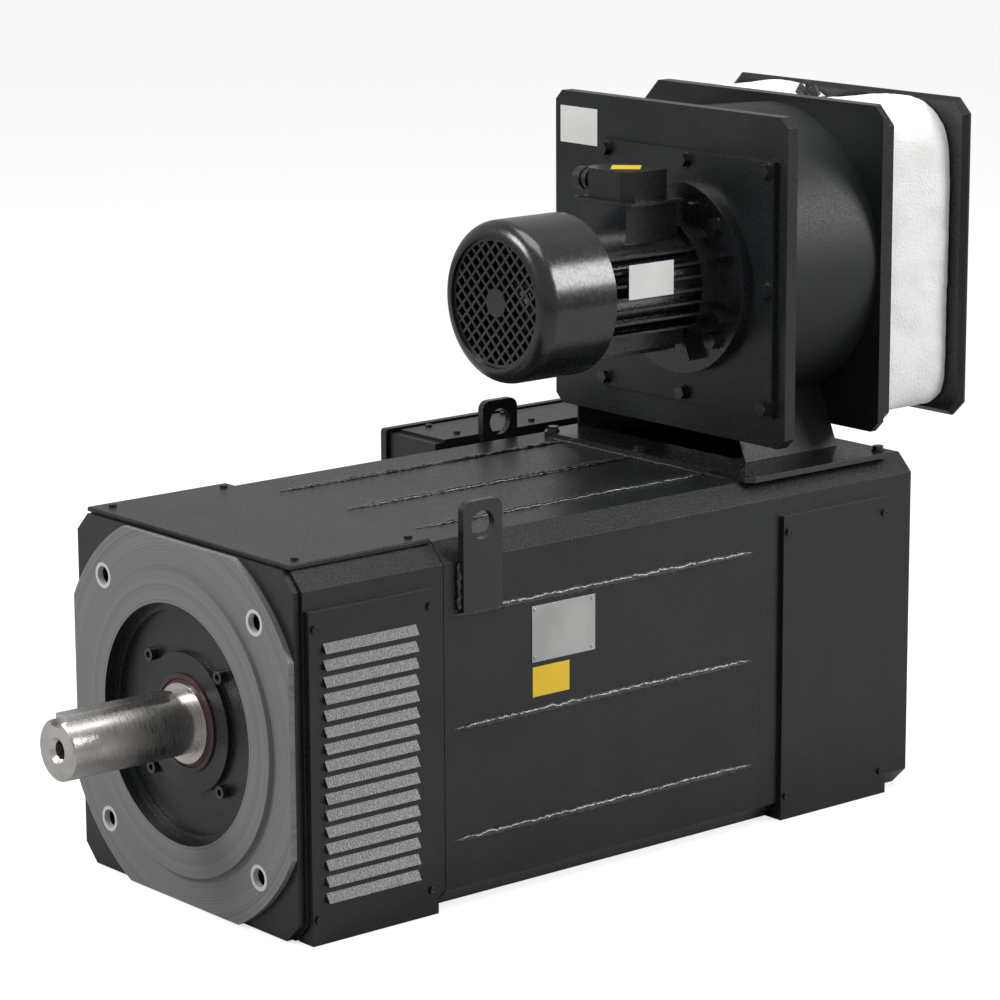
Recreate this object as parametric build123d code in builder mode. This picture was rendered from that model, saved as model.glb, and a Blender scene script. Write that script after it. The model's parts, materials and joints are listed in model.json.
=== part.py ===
from build123d import *
from math import cos, radians, sin
import os

os.makedirs("parts", exist_ok=True)

# Frame: origin at the centre of the flange's mating face, shaft towards -Y, body towards +Y, +Z up.

# --- driving dimensions -------------------------------------------------------------------------
FRAME = 360.0          # width and height of the square frame
CORNER = 18.5          # corner chamfer of the frame
FRONT_L = 167.0        # length of the drive-end housing
STATOR_L = 415.0       # length of the stator frame
REAR_L = 210.0         # length of the rear housing
END_T = 6.0            # rear end plate

PCD = 350.0            # flange hole circle
HOLE_D = 18.5          # flange holes
SPIGOT_D = 300.0       # flange spigot
SPIGOT_H = 5.0
FACE_D = 400.0         # machined flange face
RECESS_D = 237.0       # recess inside the spigot

SHAFT_D = 60.0
SHAFT_L = 140.0
KEY_W = 18.0
KEY_H = 11.0
KEY_L = 125.0
KEY_SEAT = 7.0         # keyway depth
THREAD_D = 17.5        # core hole of the centre thread

BRG_ID = 65.0          # main bearings
BRG_OD = 140.0
BRG_W = 33.0
BALL_D = 23.8
BALLS = 8

ROTOR_D = 218.8
AIR_GAP = 0.8
CORE_L = 300.0
SLOTS = 24

FAN_X = 33.0           # blower fan axis, from the frame's middle plane
FAN_Z = 191.0          # blower fan axis, above the frame's top
FAN_FLANGE_D = 200.0
FAN_PCD = 165.0
IMPELLER_D = 240.0
COWL_R = 82.0          # cooling fan cowl
SCROLL_W = 132.0       # between the blower's two plates

# --- fits -----------------------------------------------------------------------------------------
SEAT = 0.05            # faces that bear on each other
RUN = 0.05             # radial clearance of running fits
LOOSE = 0.3            # soft or loosely placed pieces
SHEET = 2.0

# --- derived stations -----------------------------------------------------------------------------
H = FRAME / 2
Y0 = 14.0                              # drive-end housing starts
YS = Y0 + FRONT_L                      # stator frame starts
YR = YS + STATOR_L                     # rear housing starts
YE = YR + REAR_L                       # rear end plate starts
Y_PAINT = 6.5                          # painted corners of the flange
Y_FLOOR = 12.5                         # floor of the recess
HY = H - 0.5                           # half width of the drive-end housing
FLANGE_HX = H - 4.0                    # half width of the flange plate
FLANGE_HZ = H - 1.0                    # half height of the flange plate
PILOT = H - 4.1                        # flange pilot inside the housing

BRG1 = 35.0                            # drive-end bearing, front face
BRG2 = YR + 9.0                        # rear bearing, front face
BRG_R = (BRG_ID + BRG_OD) / 4          # pitch radius of the balls
CORE0 = YS + 34.0
CORE1 = CORE0 + CORE_L
BORE_R = ROTOR_D / 2 + AIR_GAP
SLOT_R0 = BORE_R + 3.0
SLOT_D = 26.0
SLOT_W = 9.0
SLOT_R = SLOT_R0 + SLOT_D / 2

FZ = H + FAN_Z                         # fan axis height
YP = YR + 34.0                         # blower front plate, outer face
YB = YP + 2.5 + SCROLL_W               # blower back plate, front face
Y_FLEECE = YB + 16.5
FLEECE_L = 103.0
Y_FILTER = Y_FLEECE + FLEECE_L + 0.6
PLATE_Z0 = H + 28.0
PLATE_Z1 = H + 366.0
PLATE_HX = 177.0


def octagon(hx, z0, z1, c):
    return [(-hx + c, z0), (hx - c, z0), (hx, z0 + c), (hx, z1 - c),
            (hx - c, z1), (-hx + c, z1), (-hx, z1 - c), (-hx, z0 + c)]


def prism_y(points, y0, y1, mode=Mode.ADD):
    with BuildSketch(Plane.XZ.offset(-y1)) as outline:
        with BuildLine():
            Polyline(*points, close=True)
        make_face()
    extrude(outline.sketch, amount=y1 - y0, mode=mode)


def prism_x(points, x0, x1, mode=Mode.ADD):
    with BuildSketch(Plane.YZ.offset(x0)) as outline:
        with BuildLine():
            Polyline(*points, close=True)
        make_face()
    extrude(outline.sketch, amount=x1 - x0, mode=mode)


def block(x0, x1, y0, y1, z0, z1, mode=Mode.ADD):
    with Locations(((x0 + x1) / 2, (y0 + y1) / 2, (z0 + z1) / 2)):
        Box(x1 - x0, y1 - y0, z1 - z0, mode=mode)


def cyl_y(r, y0, y1, x=0.0, z=0.0, mode=Mode.ADD):
    with Locations((x, (y0 + y1) / 2, z)):
        Cylinder(r, y1 - y0, rotation=(90, 0, 0), mode=mode)


def cyl_x(r, x0, x1, y=0.0, z=0.0, mode=Mode.ADD):
    with Locations(((x0 + x1) / 2, y, z)):
        Cylinder(r, x1 - x0, rotation=(0, 90, 0), mode=mode)


def cyl_z(r, z0, z1, x=0.0, y=0.0, mode=Mode.ADD):
    with Locations((x, y, (z0 + z1) / 2)):
        Cylinder(r, z1 - z0, mode=mode)


def at_y(y, x=0.0, z=0.0):
    return Plane(origin=(x, y, z), x_dir=(1, 0, 0), z_dir=(0, -1, 0))


def at_x(x, side, y, z):
    return Plane(origin=(x, y, z), x_dir=(0, side, 0), z_dir=(side, 0, 0))


def pan_screw(place, head_r, head_h, shank_r, shank_l):
    with Locations(place):
        Cylinder(head_r, head_h, align=(Align.CENTER, Align.CENTER, Align.MIN))
        Cylinder(shank_r, shank_l, align=(Align.CENTER, Align.CENTER, Align.MAX))
        with Locations((0, 0, head_h)):
            Box(head_r * 1.3, 0.9, 1.2, align=(Align.CENTER, Align.CENTER, Align.MAX),
                mode=Mode.SUBTRACT)


def hex_bolt(place, head_r, head_h, shank_r, shank_l, washer_r):
    with Locations(place):
        Cylinder(washer_r, 1.5, align=(Align.CENTER, Align.CENTER, Align.MIN))
        Cylinder(shank_r, shank_l, align=(Align.CENTER, Align.CENTER, Align.MAX))
    with BuildSketch(place) as hexagon:
        RegularPolygon(head_r, 6)
    extrude(hexagon.sketch, amount=head_h)


# --- drive end ------------------------------------------------------------------------------------
SEAL_R = 48.5
SLEEVE_R = 39.5
CAP_PCD = 160.0
HUB_R = 100.0
HUB_Y = BRG1 + BRG_W + 8.0

with BuildPart() as flange_shield:
    cyl_y(FACE_D / 2, 0, Y_PAINT)
    prism_y(octagon(FLANGE_HX, -FLANGE_HZ, FLANGE_HZ, CORNER), -1, Y_PAINT + 1, Mode.INTERSECT)
    prism_y(octagon(FLANGE_HX, -FLANGE_HZ, FLANGE_HZ, CORNER), Y_PAINT, Y0 - SEAT)
    prism_y(octagon(PILOT, -PILOT, PILOT, CORNER + 2), Y0 - SEAT, Y0 + 7)
    cyl_y(SPIGOT_D / 2, -SPIGOT_H, 1)
    cyl_y(RECESS_D / 2, -SPIGOT_H - 1, Y_FLOOR, mode=Mode.SUBTRACT)
    cyl_y(RECESS_D / 2 + 1, 7, Y_FLOOR + 1)
    cyl_y(RECESS_D / 2 - 8, 6, Y_FLOOR, mode=Mode.SUBTRACT)
    cyl_y(69, 7, Y_FLOOR + 1)
    cyl_y(HUB_R, Y0, HUB_Y)
    for k in range(8):
        with Locations(Rotation(0, 22.5 + 45 * k, 0)):
            with Locations((128, Y0 + 26, 0)):
                Box(72, 40, 12)
    cyl_y(SEAL_R, 4, 17, mode=Mode.SUBTRACT)
    cyl_y(SLEEVE_R + 2.5, 10, BRG1 + 1, mode=Mode.SUBTRACT)
    cyl_y(BRG_OD / 2, BRG1, HUB_Y + 1, mode=Mode.SUBTRACT)
    with Locations(at_y(0)):
        with PolarLocations(PCD / 2, 4, 45):
            Hole(HOLE_D / 2)
    with Locations(at_y(Y_FLOOR)):
        with PolarLocations(CAP_PCD / 2, 4, 45):
            Hole(4.4)
flange_shield.part.label = "flange_shield"

with BuildPart() as bearing_cap_screws:
    with Locations(at_y(Y_FLOOR - SEAT)):
        with PolarLocations(CAP_PCD / 2, 4, 45):
            Cylinder(6.5, 8, align=(Align.CENTER, Align.CENTER, Align.MIN))
            Cylinder(4, HUB_Y - Y_FLOOR + 8, align=(Align.CENTER, Align.CENTER, Align.MAX))
    with BuildSketch(at_y(Y_FLOOR - 8 - SEAT)) as sockets:
        with PolarLocations(CAP_PCD / 2, 4, 45):
            RegularPolygon(3.4, 6)
    extrude(sockets.sketch, amount=-4, mode=Mode.SUBTRACT)
bearing_cap_screws.part.label = "bearing_cap_screws"

with BuildPart() as shaft_seal:
    cyl_y(SEAL_R - SEAT, 5, 16.5)
    cyl_y(SLEEVE_R + RUN, 4, 18, mode=Mode.SUBTRACT)
    cyl_y(SEAL_R - 5, 4, 7, mode=Mode.SUBTRACT)
    cyl_y(SLEEVE_R + 3, 5.5, 8)
    cyl_y(SLEEVE_R + RUN, 4, 18, mode=Mode.SUBTRACT)
shaft_seal.part.label = "shaft_seal"

with BuildPart() as de_bearing_cap:
    cyl_y(HUB_R - 2, HUB_Y + SEAT, HUB_Y + 10)
    cyl_y(BRG_OD / 2 - 0.1, BRG1 + BRG_W + 2 * SEAT, HUB_Y + 1)
    cyl_y(BRG_OD / 2 - 10, BRG1 + BRG_W - 1, HUB_Y + 2, mode=Mode.SUBTRACT)
    cyl_y(BRG_ID / 2 + 5.5, HUB_Y - 10, HUB_Y + 11, mode=Mode.SUBTRACT)
    with Locations(at_y(HUB_Y)):
        with PolarLocations(CAP_PCD / 2, 4, 45):
            Hole(4.05)
de_bearing_cap.part.label = "de_bearing_cap"

# --- rear end ---------------------------------------------------------------------------------------
WALL_R = 4.0
NDE_HUB = BRG2 + BRG_W + 2.0
NDE_IN = H - WALL_R - 0.2

with BuildPart() as nde_shield:
    prism_y(octagon(NDE_IN, -NDE_IN, NDE_IN, CORNER), YR + 1, YR + 16)
    cyl_y(95, YR - 4, NDE_HUB)
    for k in range(4):
        with Locations(Rotation(0, 90 * k, 0)):
            with Locations((134, YR + 8, 0)):
                Box(48, 40, 150, mode=Mode.SUBTRACT)
    cyl_y(BRG_OD / 2, BRG2, NDE_HUB + 1, mode=Mode.SUBTRACT)
    cyl_y(BRG_ID / 2 + 8, YR - 5, BRG2 + 1, mode=Mode.SUBTRACT)
    with Locations(at_y(NDE_HUB)):
        with PolarLocations(CAP_PCD / 2, 4, 45):
            Hole(4.05, depth=20)
nde_shield.part.label = "nde_shield"

ENC_Y = NDE_HUB + 30.0
with BuildPart() as nde_bearing_cap:
    cyl_y(94, NDE_HUB + SEAT, NDE_HUB + 10)
    cyl_y(BRG_OD / 2 - 0.1, BRG2 + BRG_W + SEAT, NDE_HUB + 1)
    with Locations(at_y(ENC_Y)):
        with PolarLocations(56, 3, 90):
            Cylinder(6, 24, align=(Align.CENTER, Align.CENTER, Align.MIN))
    cyl_y(64, ENC_Y, ENC_Y + 6)
    cyl_y(31, ENC_Y - 1, ENC_Y + 7, mode=Mode.SUBTRACT)
    cyl_y(BRG_ID / 2 + 2, BRG2 + BRG_W, NDE_HUB + 11, mode=Mode.SUBTRACT)
    with Locations(at_y(NDE_HUB)):
        with PolarLocations(CAP_PCD / 2, 4, 45):
            Hole(4.4)
nde_bearing_cap.part.label = "nde_bearing_cap"

with BuildPart() as encoder_body:
    cyl_y(30.9, ENC_Y, ENC_Y + 62)
    cyl_y(38, ENC_Y + 6 + SEAT, ENC_Y + 11)
    cyl_x(5, -44, 0, ENC_Y + 48, 0)
    cyl_y(10 + RUN, ENC_Y - 1, ENC_Y + 40, mode=Mode.SUBTRACT)
encoder_body.part.label = "encoder_body"

# --- main bearings ----------------------------------------------------------------------------------
with BuildPart() as bearing_outer_rings:
    for y in (BRG1, BRG2):
        cyl_y(BRG_OD / 2 - 0.02, y + SEAT, y + BRG_W - SEAT)
        cyl_y(BRG_R + 7.2, y - 1, y + BRG_W + 1, mode=Mode.SUBTRACT)
        with Locations((0, y + BRG_W / 2, 0)):
            Torus(BRG_R, BALL_D / 2 + 0.08, rotation=(90, 0, 0), mode=Mode.SUBTRACT)
bearing_outer_rings.part.label = "bearing_outer_rings"

with BuildPart() as bearing_inner_rings:
    for y in (BRG1, BRG2):
        cyl_y(BRG_R - 7.2, y + SEAT, y + BRG_W - SEAT)
        cyl_y(BRG_ID / 2 + 0.02, y - 1, y + BRG_W + 1, mode=Mode.SUBTRACT)
        with Locations((0, y + BRG_W / 2, 0)):
            Torus(BRG_R, BALL_D / 2 + 0.08, rotation=(90, 0, 0), mode=Mode.SUBTRACT)
bearing_inner_rings.part.label = "bearing_inner_rings"

with BuildPart() as bearing_balls:
    for y in (BRG1, BRG2):
        cyl_y(BRG_R + 3.5, y + BRG_W / 2 - 4, y + BRG_W / 2 + 4)
        cyl_y(BRG_R - 3.5, y + BRG_W / 2 - 5, y + BRG_W / 2 + 5, mode=Mode.SUBTRACT)
        with Locations(at_y(y + BRG_W / 2)):
            with PolarLocations(BRG_R, BALLS):
                Sphere(BALL_D / 2)
bearing_balls.part.label = "bearing_balls"

# --- stator -----------------------------------------------------------------------------------------
WALL_S = 6.0
CORE_H = H - WALL_S - 0.2

with BuildPart() as stator_core:
    prism_y(octagon(CORE_H, -CORE_H, CORE_H, 58), CORE0, CORE1)
    cyl_y(BORE_R, CORE0 - 1, CORE1 + 1, mode=Mode.SUBTRACT)
    with Locations(at_y((CORE0 + CORE1) / 2)):
        with PolarLocations(SLOT_R, SLOTS):
            Box(SLOT_D, SLOT_W, CORE_L + 2, mode=Mode.SUBTRACT)
        with PolarLocations(154, 8, 22.5):
            Cylinder(7, CORE_L + 2, mode=Mode.SUBTRACT)
stator_core.part.label = "stator_core"

with BuildPart() as stator_windings:
    with Locations(at_y((CORE0 + CORE1) / 2)):
        with PolarLocations(SLOT_R, SLOTS):
            Box(SLOT_D - 2 * LOOSE, SLOT_W - 2 * LOOSE, CORE_L + 20)
    cyl_y(SLOT_R0 + SLOT_D + 4, CORE0 - 52, CORE0 - LOOSE)
    cyl_y(SLOT_R0 + SLOT_D + 4, CORE1 + LOOSE, CORE1 + 52)
    cyl_y(SLOT_R0 - 0.5, CORE0 - 53, CORE0, mode=Mode.SUBTRACT)
    cyl_y(SLOT_R0 - 0.5, CORE1, CORE1 + 53, mode=Mode.SUBTRACT)
    ends = stator_windings.edges().filter_by(GeomType.CIRCLE)
    rims = ends.filter_by(lambda e: abs(e.center().Y - CORE0 + 52) < 0.1)
    rims += ends.filter_by(lambda e: abs(e.center().Y - CORE1 - 52) < 0.1)
    fillet(rims, 8)
stator_windings.part.label = "stator_windings"

with BuildPart() as stator_frame:
    prism_y(octagon(H, -H, H, CORNER), YS + SEAT, YR - SEAT)
    inner = H - WALL_S
    prism_y(octagon(inner, -inner, inner, CORNER - 2.5), YS, YR, Mode.SUBTRACT)
stator_frame.part.label = "stator_frame"

# --- housings ----------------------------------------------------------------------------------------
SIDE_Y = (Y0 + 19, Y0 + 129)
SIDE_Z = (-H + 36, H - 72)
with BuildPart() as front_housing:
    prism_y(octagon(HY, -HY, HY, CORNER), Y0, YS)
    inner = H - 4
    prism_y(octagon(inner, -inner, inner, CORNER + 1.5), Y0 - 1, YS + 1, Mode.SUBTRACT)
    block(-H - 1, H + 1, SIDE_Y[0], SIDE_Y[1], SIDE_Z[0], SIDE_Z[1], Mode.SUBTRACT)
    block(-120, 120, SIDE_Y[0], SIDE_Y[1], H - 20, H + 1, Mode.SUBTRACT)
    for y in (Y0 + 10, Y0 + 146):
        for z in (H - 55, -H + 25):
            cyl_x(2.1, -H - 1, H + 1, y, z, Mode.SUBTRACT)
    for y in (Y0 + 16, Y0 + 150):
        for x in (-148, 148):
            cyl_z(2.1, H - 20, H + 1, x, y, Mode.SUBTRACT)
front_housing.part.label = "front_housing"

DUCT_X = (-128.0, 96.0)
DUCT_Y = (YP + 8, YB - 8)
PANEL_Y = (YR + 27, YR + 180)
TB_Y = (YR - 126, YR + 149)
with BuildPart() as rear_housing:
    prism_y(octagon(H, -H, H, CORNER), YR, YE)
    inner = H - WALL_R
    prism_y(octagon(inner, -inner, inner, CORNER - 1.5), YR - 1, YE + 1, Mode.SUBTRACT)
    block(DUCT_X[0], DUCT_X[1], DUCT_Y[0], DUCT_Y[1], H - 20, H + 1, Mode.SUBTRACT)
    block(H - 10, H + 1, PANEL_Y[0] + 20, PANEL_Y[1] - 20, -H + 40, H - 80, Mode.SUBTRACT)
    cyl_x(22, -H - 1, -H + 10, YR + 70, 100, Mode.SUBTRACT)
    for y in (PANEL_Y[0] + 7, PANEL_Y[1] - 8):
        for z in (H - 55, -H + 25):
            cyl_x(2.1, H - 10, H + 1, y, z, Mode.SUBTRACT)
rear_housing.part.label = "rear_housing"

with BuildPart() as rear_end_plate:
    prism_y(octagon(H, -H, H, CORNER), YE + SEAT, YE + END_T)
    pilot = H - WALL_R - 0.3
    prism_y(octagon(pilot, -pilot, pilot, CORNER - 1), YE - 6, YE + 1)
    prism_y(octagon(pilot - 6, -pilot + 6, pilot - 6, CORNER), YE - 7, YE + SEAT, Mode.SUBTRACT)
rear_end_plate.part.label = "rear_end_plate"

with BuildPart() as top_cover:
    block(-H + 16, H - 16, Y0 - 3, Y0 + 164, HY + 0.1, H + 4)
    top_edges = top_cover.faces().sort_by(Axis.Z)[-1].edges()
    chamfer(top_edges, 1)
    block(-H + 18, H - 18, Y0 - 1, Y0 + 162, HY, H + 2, Mode.SUBTRACT)
    for y in (Y0 + 16, Y0 + 150):
        for x in (-148, 148):
            cyl_z(2.1, HY, H + 5, x, y, Mode.SUBTRACT)
top_cover.part.label = "top_cover"

LOUVRES = 16
PITCH = 16.07
LIP_Z = H - 79.0


def louvres(side, face):
    for k in range(LOUVRES):
        z = LIP_Z - PITCH * k
        hood = [(side * (face - 1), z), (side * (face + 5.5), z), (side * (face - 1), z + 11)]
        hollow = [(side * (face - 4), z + 0.8), (side * (face - 4), z + 8.2),
                  (side * (face - 1.2), z + 8.2), (side * (face + 4.3), z + 0.2),
                  (side * (face + 4.3), z - 1), (side * face, z - 1), (side * face, z + 0.8)]
        prism_y(hood, SIDE_Y[0], SIDE_Y[1])
        prism_y(hollow, SIDE_Y[0] + 1.4, SIDE_Y[1] - 1.4, Mode.SUBTRACT)


def corner_panel(base, y0, y1):
    face = H + 5
    lip = base - CORNER + 0.5
    prism_y([(base, H - 38), (face, H - 38), (face, -H), (lip, -H), (base, -H + CORNER - 0.5)],
            y0, y1)
    prism_y([(base - 1, H - 40), (face - SHEET, H - 40), (face - SHEET, -H + SHEET),
             (lip + 2, -H + SHEET), (base - 1, -H + CORNER + 0.5)],
            y0 + SHEET, y1 - SHEET, Mode.SUBTRACT)
    for y in (y0 + 7, y1 - 10 + 2):
        for z in (H - 55, -H + 25):
            cyl_x(2.1, base - 2, face + 1, y, z, Mode.SUBTRACT)


LP_Y = (Y0 + 3, Y0 + 156 - 2)
with BuildPart() as louvre_panel_right:
    corner_panel(HY + 0.15, LP_Y[0], LP_Y[1])
    louvres(1, H + 5)
louvre_panel_right.part.label = "louvre_panel_right"

with BuildPart() as louvre_panel_left:
    block(-H - 5, -HY - 0.15, LP_Y[0], LP_Y[1], -H + 20, H - 38)
    block(-H - 5 + SHEET, -HY, LP_Y[0] + SHEET, LP_Y[1] - SHEET, -H + 22, H - 40, Mode.SUBTRACT)
    louvres(-1, H + 5)
    for y in (LP_Y[0] + 7, LP_Y[1] - 8):
        for z in (H - 55, -H + 25):
            cyl_x(2.1, -H - 6, -HY, y, z, Mode.SUBTRACT)
louvre_panel_left.part.label = "louvre_panel_left"

with BuildPart() as side_panel_right:
    corner_panel(H + 0.1, PANEL_Y[0], PANEL_Y[1])
side_panel_right.part.label = "side_panel_right"

# --- small screws --------------------------------------------------------------------------------------
FACE_X = H + 5 + SEAT
with BuildPart() as cover_screws:
    for z in (H - 55, -H + 25):
        for y in (LP_Y[0] + 7, LP_Y[1] - 8, PANEL_Y[0] + 7, PANEL_Y[1] - 8):
            pan_screw(at_x(FACE_X, 1, y, z), 4, 2.4, 2, 12)
        for y in (LP_Y[0] + 7, LP_Y[1] - 8):
            pan_screw(at_x(-FACE_X, -1, y, z), 4, 2.4, 2, 12)
    for y in (Y0 + 16, Y0 + 150):
        for x in (-148, 148):
            pan_screw(Plane(origin=(x, y, H + 4 + SEAT)), 4, 2.4, 2, 12)
cover_screws.part.label = "cover_screws"

# --- lifting eyes ----------------------------------------------------------------------------------------
EYE_Z = H + 15.0
EYE_R = 14.0


def eye(x0, x1, y_mid):
    with BuildSketch(Plane.YZ.offset(x0)) as ear:
        with Locations((y_mid, (H - 68 + H + 39) / 2)):
            Rectangle(48, 107)
        fillet(ear.vertices().group_by(Axis.Y)[-1], 10)
        with Locations((y_mid, EYE_Z)):
            Circle(EYE_R, mode=Mode.SUBTRACT)
    extrude(ear.sketch, amount=x1 - x0)


EYE1_Y = YS + 42.0
EYE2_Y = YR - 43.0
with BuildPart() as lifting_eyes:
    eye(H + SEAT, H + 8, EYE1_Y)
    eye(-H - 8, -H - SEAT, EYE2_Y)
lifting_eyes.part.label = "lifting_eyes"

# --- plates and labels -------------------------------------------------------------------------------------
with BuildPart() as nameplate:
    block(H + SEAT, H + 0.9, YS + 109, YS + 190, H - 134, H - 78)
    for y in (YS + 113, YS + 186):
        for z in (H - 130, H - 82):
            cyl_x(1.8, H + 0.5, H + 1.8, y, z)
nameplate.part.label = "nameplate"

BOX_TOP = FZ + 119.0
with BuildPart() as yellow_labels:
    block(H + SEAT, H + 0.35, YS + 110, YS + 157, H - 169, H - 139)
    with Locations((FAN_X - 4, YP - 84, BOX_TOP + 0.2)):
        Box(30, 30, 0.3, rotation=(0, 0, 45))
yellow_labels.part.label = "yellow_labels"

with BuildPart() as white_labels:
    block(-169, -110, YP - 0.4, YP - SEAT, PLATE_Z1 - 55, PLATE_Z1 - 16)
    block(FAN_X + 72 + SEAT, FAN_X + 72.5, YP - 148, YP - 88, FZ - 1, FZ + 34)
white_labels.part.label = "white_labels"

# --- main terminal box -----------------------------------------------------------------------------------------
TBX = (-H - 91, -H - 8.2)
TBZ = (H - 160, H)
with BuildPart() as terminal_box:
    block(TBX[0], TBX[1], TB_Y[0], TB_Y[1], TBZ[0], TBZ[1])
    block(TBX[1] - 1, -H - SEAT, YR + 20, YR + 130, TBZ[0] + 20, TBZ[1] - 20)
    block(TBX[0] - 1, TBX[1] - 4, TB_Y[0] + 4, TB_Y[1] - 4, TBZ[0] + 4, TBZ[1] - 4, Mode.SUBTRACT)
    block(-H - 72, -H - 18, TB_Y[0] + 25, TB_Y[1] - 25, TBZ[1] - 5, TBZ[1] + 1, Mode.SUBTRACT)
    cyl_x(22, TBX[1] - 5, -H + 1, YR + 70, 100, Mode.SUBTRACT)
terminal_box.part.label = "terminal_box"

with BuildPart() as terminal_box_gasket:
    block(TBX[0] - 2 + SEAT, TBX[0] - SEAT, TB_Y[0], TB_Y[1], TBZ[0], TBZ[1])
    block(TBX[0] - 3, TBX[0] + 1, TB_Y[0] + 8, TB_Y[1] - 8, TBZ[0] + 8, TBZ[1] - 8, Mode.SUBTRACT)
terminal_box_gasket.part.label = "terminal_box_gasket"

LID_Y = (TB_Y[0] - 4.5, TB_Y[1] + 4.5)
LID_Z = (TBZ[0] - 4.5, TBZ[1] + 4.5)
with BuildPart() as terminal_box_lid:
    block(TBX[0] - 5, TBX[0] + 4, LID_Y[0], LID_Y[1], LID_Z[0], LID_Z[1])
    outer = terminal_box_lid.edges().filter_by(Axis.X)
    fillet(outer, 4)
    block(TBX[0] - 2, TBX[0] + 5, LID_Y[0] + 3, LID_Y[1] - 3, LID_Z[0] + 3, LID_Z[1] - 3,
          Mode.SUBTRACT)
    for y in (TB_Y[0] + 38, TB_Y[1] - 32):
        for z in (LID_Z[1] - 6.5, LID_Z[0] + 6.5):
            cyl_x(1.3, TBX[0] - 6, TBX[0] - 1, y, z, Mode.SUBTRACT)
terminal_box_lid.part.label = "terminal_box_lid"

with BuildPart() as gland_plate:
    block(-H - 82, -H - 8.2, TB_Y[0] + 12, TB_Y[1] - 10, H + SEAT, H + 3)
    for y in (TB_Y[0] + 45, TB_Y[0] + 150, TB_Y[1] - 20):
        for x in (-H - 27, -H - 75):
            cyl_z(2, H - 1, H + 4, x, y, Mode.SUBTRACT)
gland_plate.part.label = "gland_plate"

with BuildPart() as terminal_block:
    block(TBX[1] - 26, TBX[1] - 4 - SEAT, YR - 60, YR + 30, H - 110, H - 60)
    for k in range(3):
        block(TBX[1] - 34, TBX[1] - 25, YR - 47 + 30 * k, YR - 43 + 30 * k, H - 110, H - 60)
    for y in (YR - 53, YR - 30, YR, YR + 23):
        for z in (H - 98, H - 72):
            cyl_x(3.05, TBX[1] - 35, TBX[1] - 10, y, z, Mode.SUBTRACT)
terminal_block.part.label = "terminal_block"

with BuildPart() as terminal_studs:
    for y in (YR - 53, YR - 30, YR, YR + 23):
        for z in (H - 98, H - 72):
            cyl_x(3, TBX[1] - 46, TBX[1] - 10.1, y, z)
            cyl_x(5, TBX[1] - 32, TBX[1] - 26.1, y, z)
terminal_studs.part.label = "terminal_studs"

with BuildPart() as terminal_box_screws:
    for y in (TB_Y[0] + 45, TB_Y[0] + 150, TB_Y[1] - 20):
        for x in (-H - 27, -H - 75):
            pan_screw(Plane(origin=(x, y, H + 3 + SEAT)), 3.6, 2.4, 1.9, 2.9)
    for y in (TB_Y[0] + 38, TB_Y[1] - 32):
        for z in (LID_Z[1] - 6.5, LID_Z[0] + 6.5):
            pan_screw(at_x(TBX[0] - 5 - SEAT, -1, y, z), 5.5, 4, 1.2, 2.6)
terminal_box_screws.part.label = "terminal_box_screws"

# --- blower casing -----------------------------------------------------------------------------------------
SC_X, SC_Z, SC_R = 18.0, H + 205.0, 154.0
SC_LEFT = -145.0
SC_R2 = 45.0
TILT = 97.0


def scroll_prism(t, mode):
    cx = SC_LEFT + SC_R2
    cz = SC_Z + (SC_R - SC_R2 - (cx - SC_X) * cos(radians(TILT))) / sin(radians(TILT))
    a = radians(TILT)
    b = radians(-62)
    with BuildSketch(Plane.XZ.offset(-YB + SEAT)) as wrap:
        with BuildLine():
            Line((SC_LEFT + t, H + 5.9), (SC_LEFT + t, cz))
            CenterArc((cx, cz), SC_R2 - t, 180, TILT - 180)
            Line((cx + (SC_R2 - t) * cos(a), cz + (SC_R2 - t) * sin(a)),
                 (SC_X + (SC_R - t) * cos(a), SC_Z + (SC_R - t) * sin(a)))
            CenterArc((SC_X, SC_Z), SC_R - t, TILT, -62 - TILT)
            Line((SC_X + (SC_R - t) * cos(b), SC_Z + (SC_R - t) * sin(b)), (118 - t, H + 5.9))
            Line((118 - t, H + 5.9), (SC_LEFT + t, H + 5.9))
        make_face()
    extrude(wrap.sketch, amount=SCROLL_W - 2 * SEAT, mode=mode)


with BuildPart() as blower_scroll:
    scroll_prism(0, Mode.ADD)
    scroll_prism(SHEET, Mode.SUBTRACT)
blower_scroll.part.label = "blower_scroll"

with BuildPart() as blower_base:
    block(-150, PLATE_HX - 1, YR - 13, YB + 26, H + SEAT, H + 5.8)
    chamfer(blower_base.edges().filter_by(Axis.Z), 8)
    block(DUCT_X[0], DUCT_X[1], DUCT_Y[0], DUCT_Y[1], H - 1, H + 7, Mode.SUBTRACT)
    for x in (-138, 0, 162):
        for y in (YR - 4, YB + 16):
            cyl_z(3.3, H - 1, H + 7, x, y, Mode.SUBTRACT)
blower_base.part.label = "blower_base"

AD = 131.0
AD_X = FAN_X - 1
AD_B = 121.5
GRID = [(-1, -1), (-1, 0), (-1, 1), (0, -1), (0, 1), (1, -1), (1, 0), (1, 1)]
with BuildPart() as blower_front_plate:
    prism_y(octagon(PLATE_HX, PLATE_Z0, PLATE_Z1, 10), YP, YP + 14)
    prism_y(octagon(PLATE_HX - 2.5, PLATE_Z0 + 2.5, PLATE_Z1 - 2.5, 9), YP + 2.5, YP + 15,
            Mode.SUBTRACT)
    cyl_y(100, YP - 1, YP + 3, AD_X, FZ, Mode.SUBTRACT)
    block(SC_LEFT - 0.5, 120, YP + 2.5, YP + 15, PLATE_Z0 - 1, PLATE_Z0 + 3, Mode.SUBTRACT)
    for i, k in GRID:
        cyl_y(4.2, YP - 1, YP + 3, AD_X + i * AD_B, FZ - 1 + k * AD_B, Mode.SUBTRACT)
blower_front_plate.part.label = "blower_front_plate"

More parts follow.
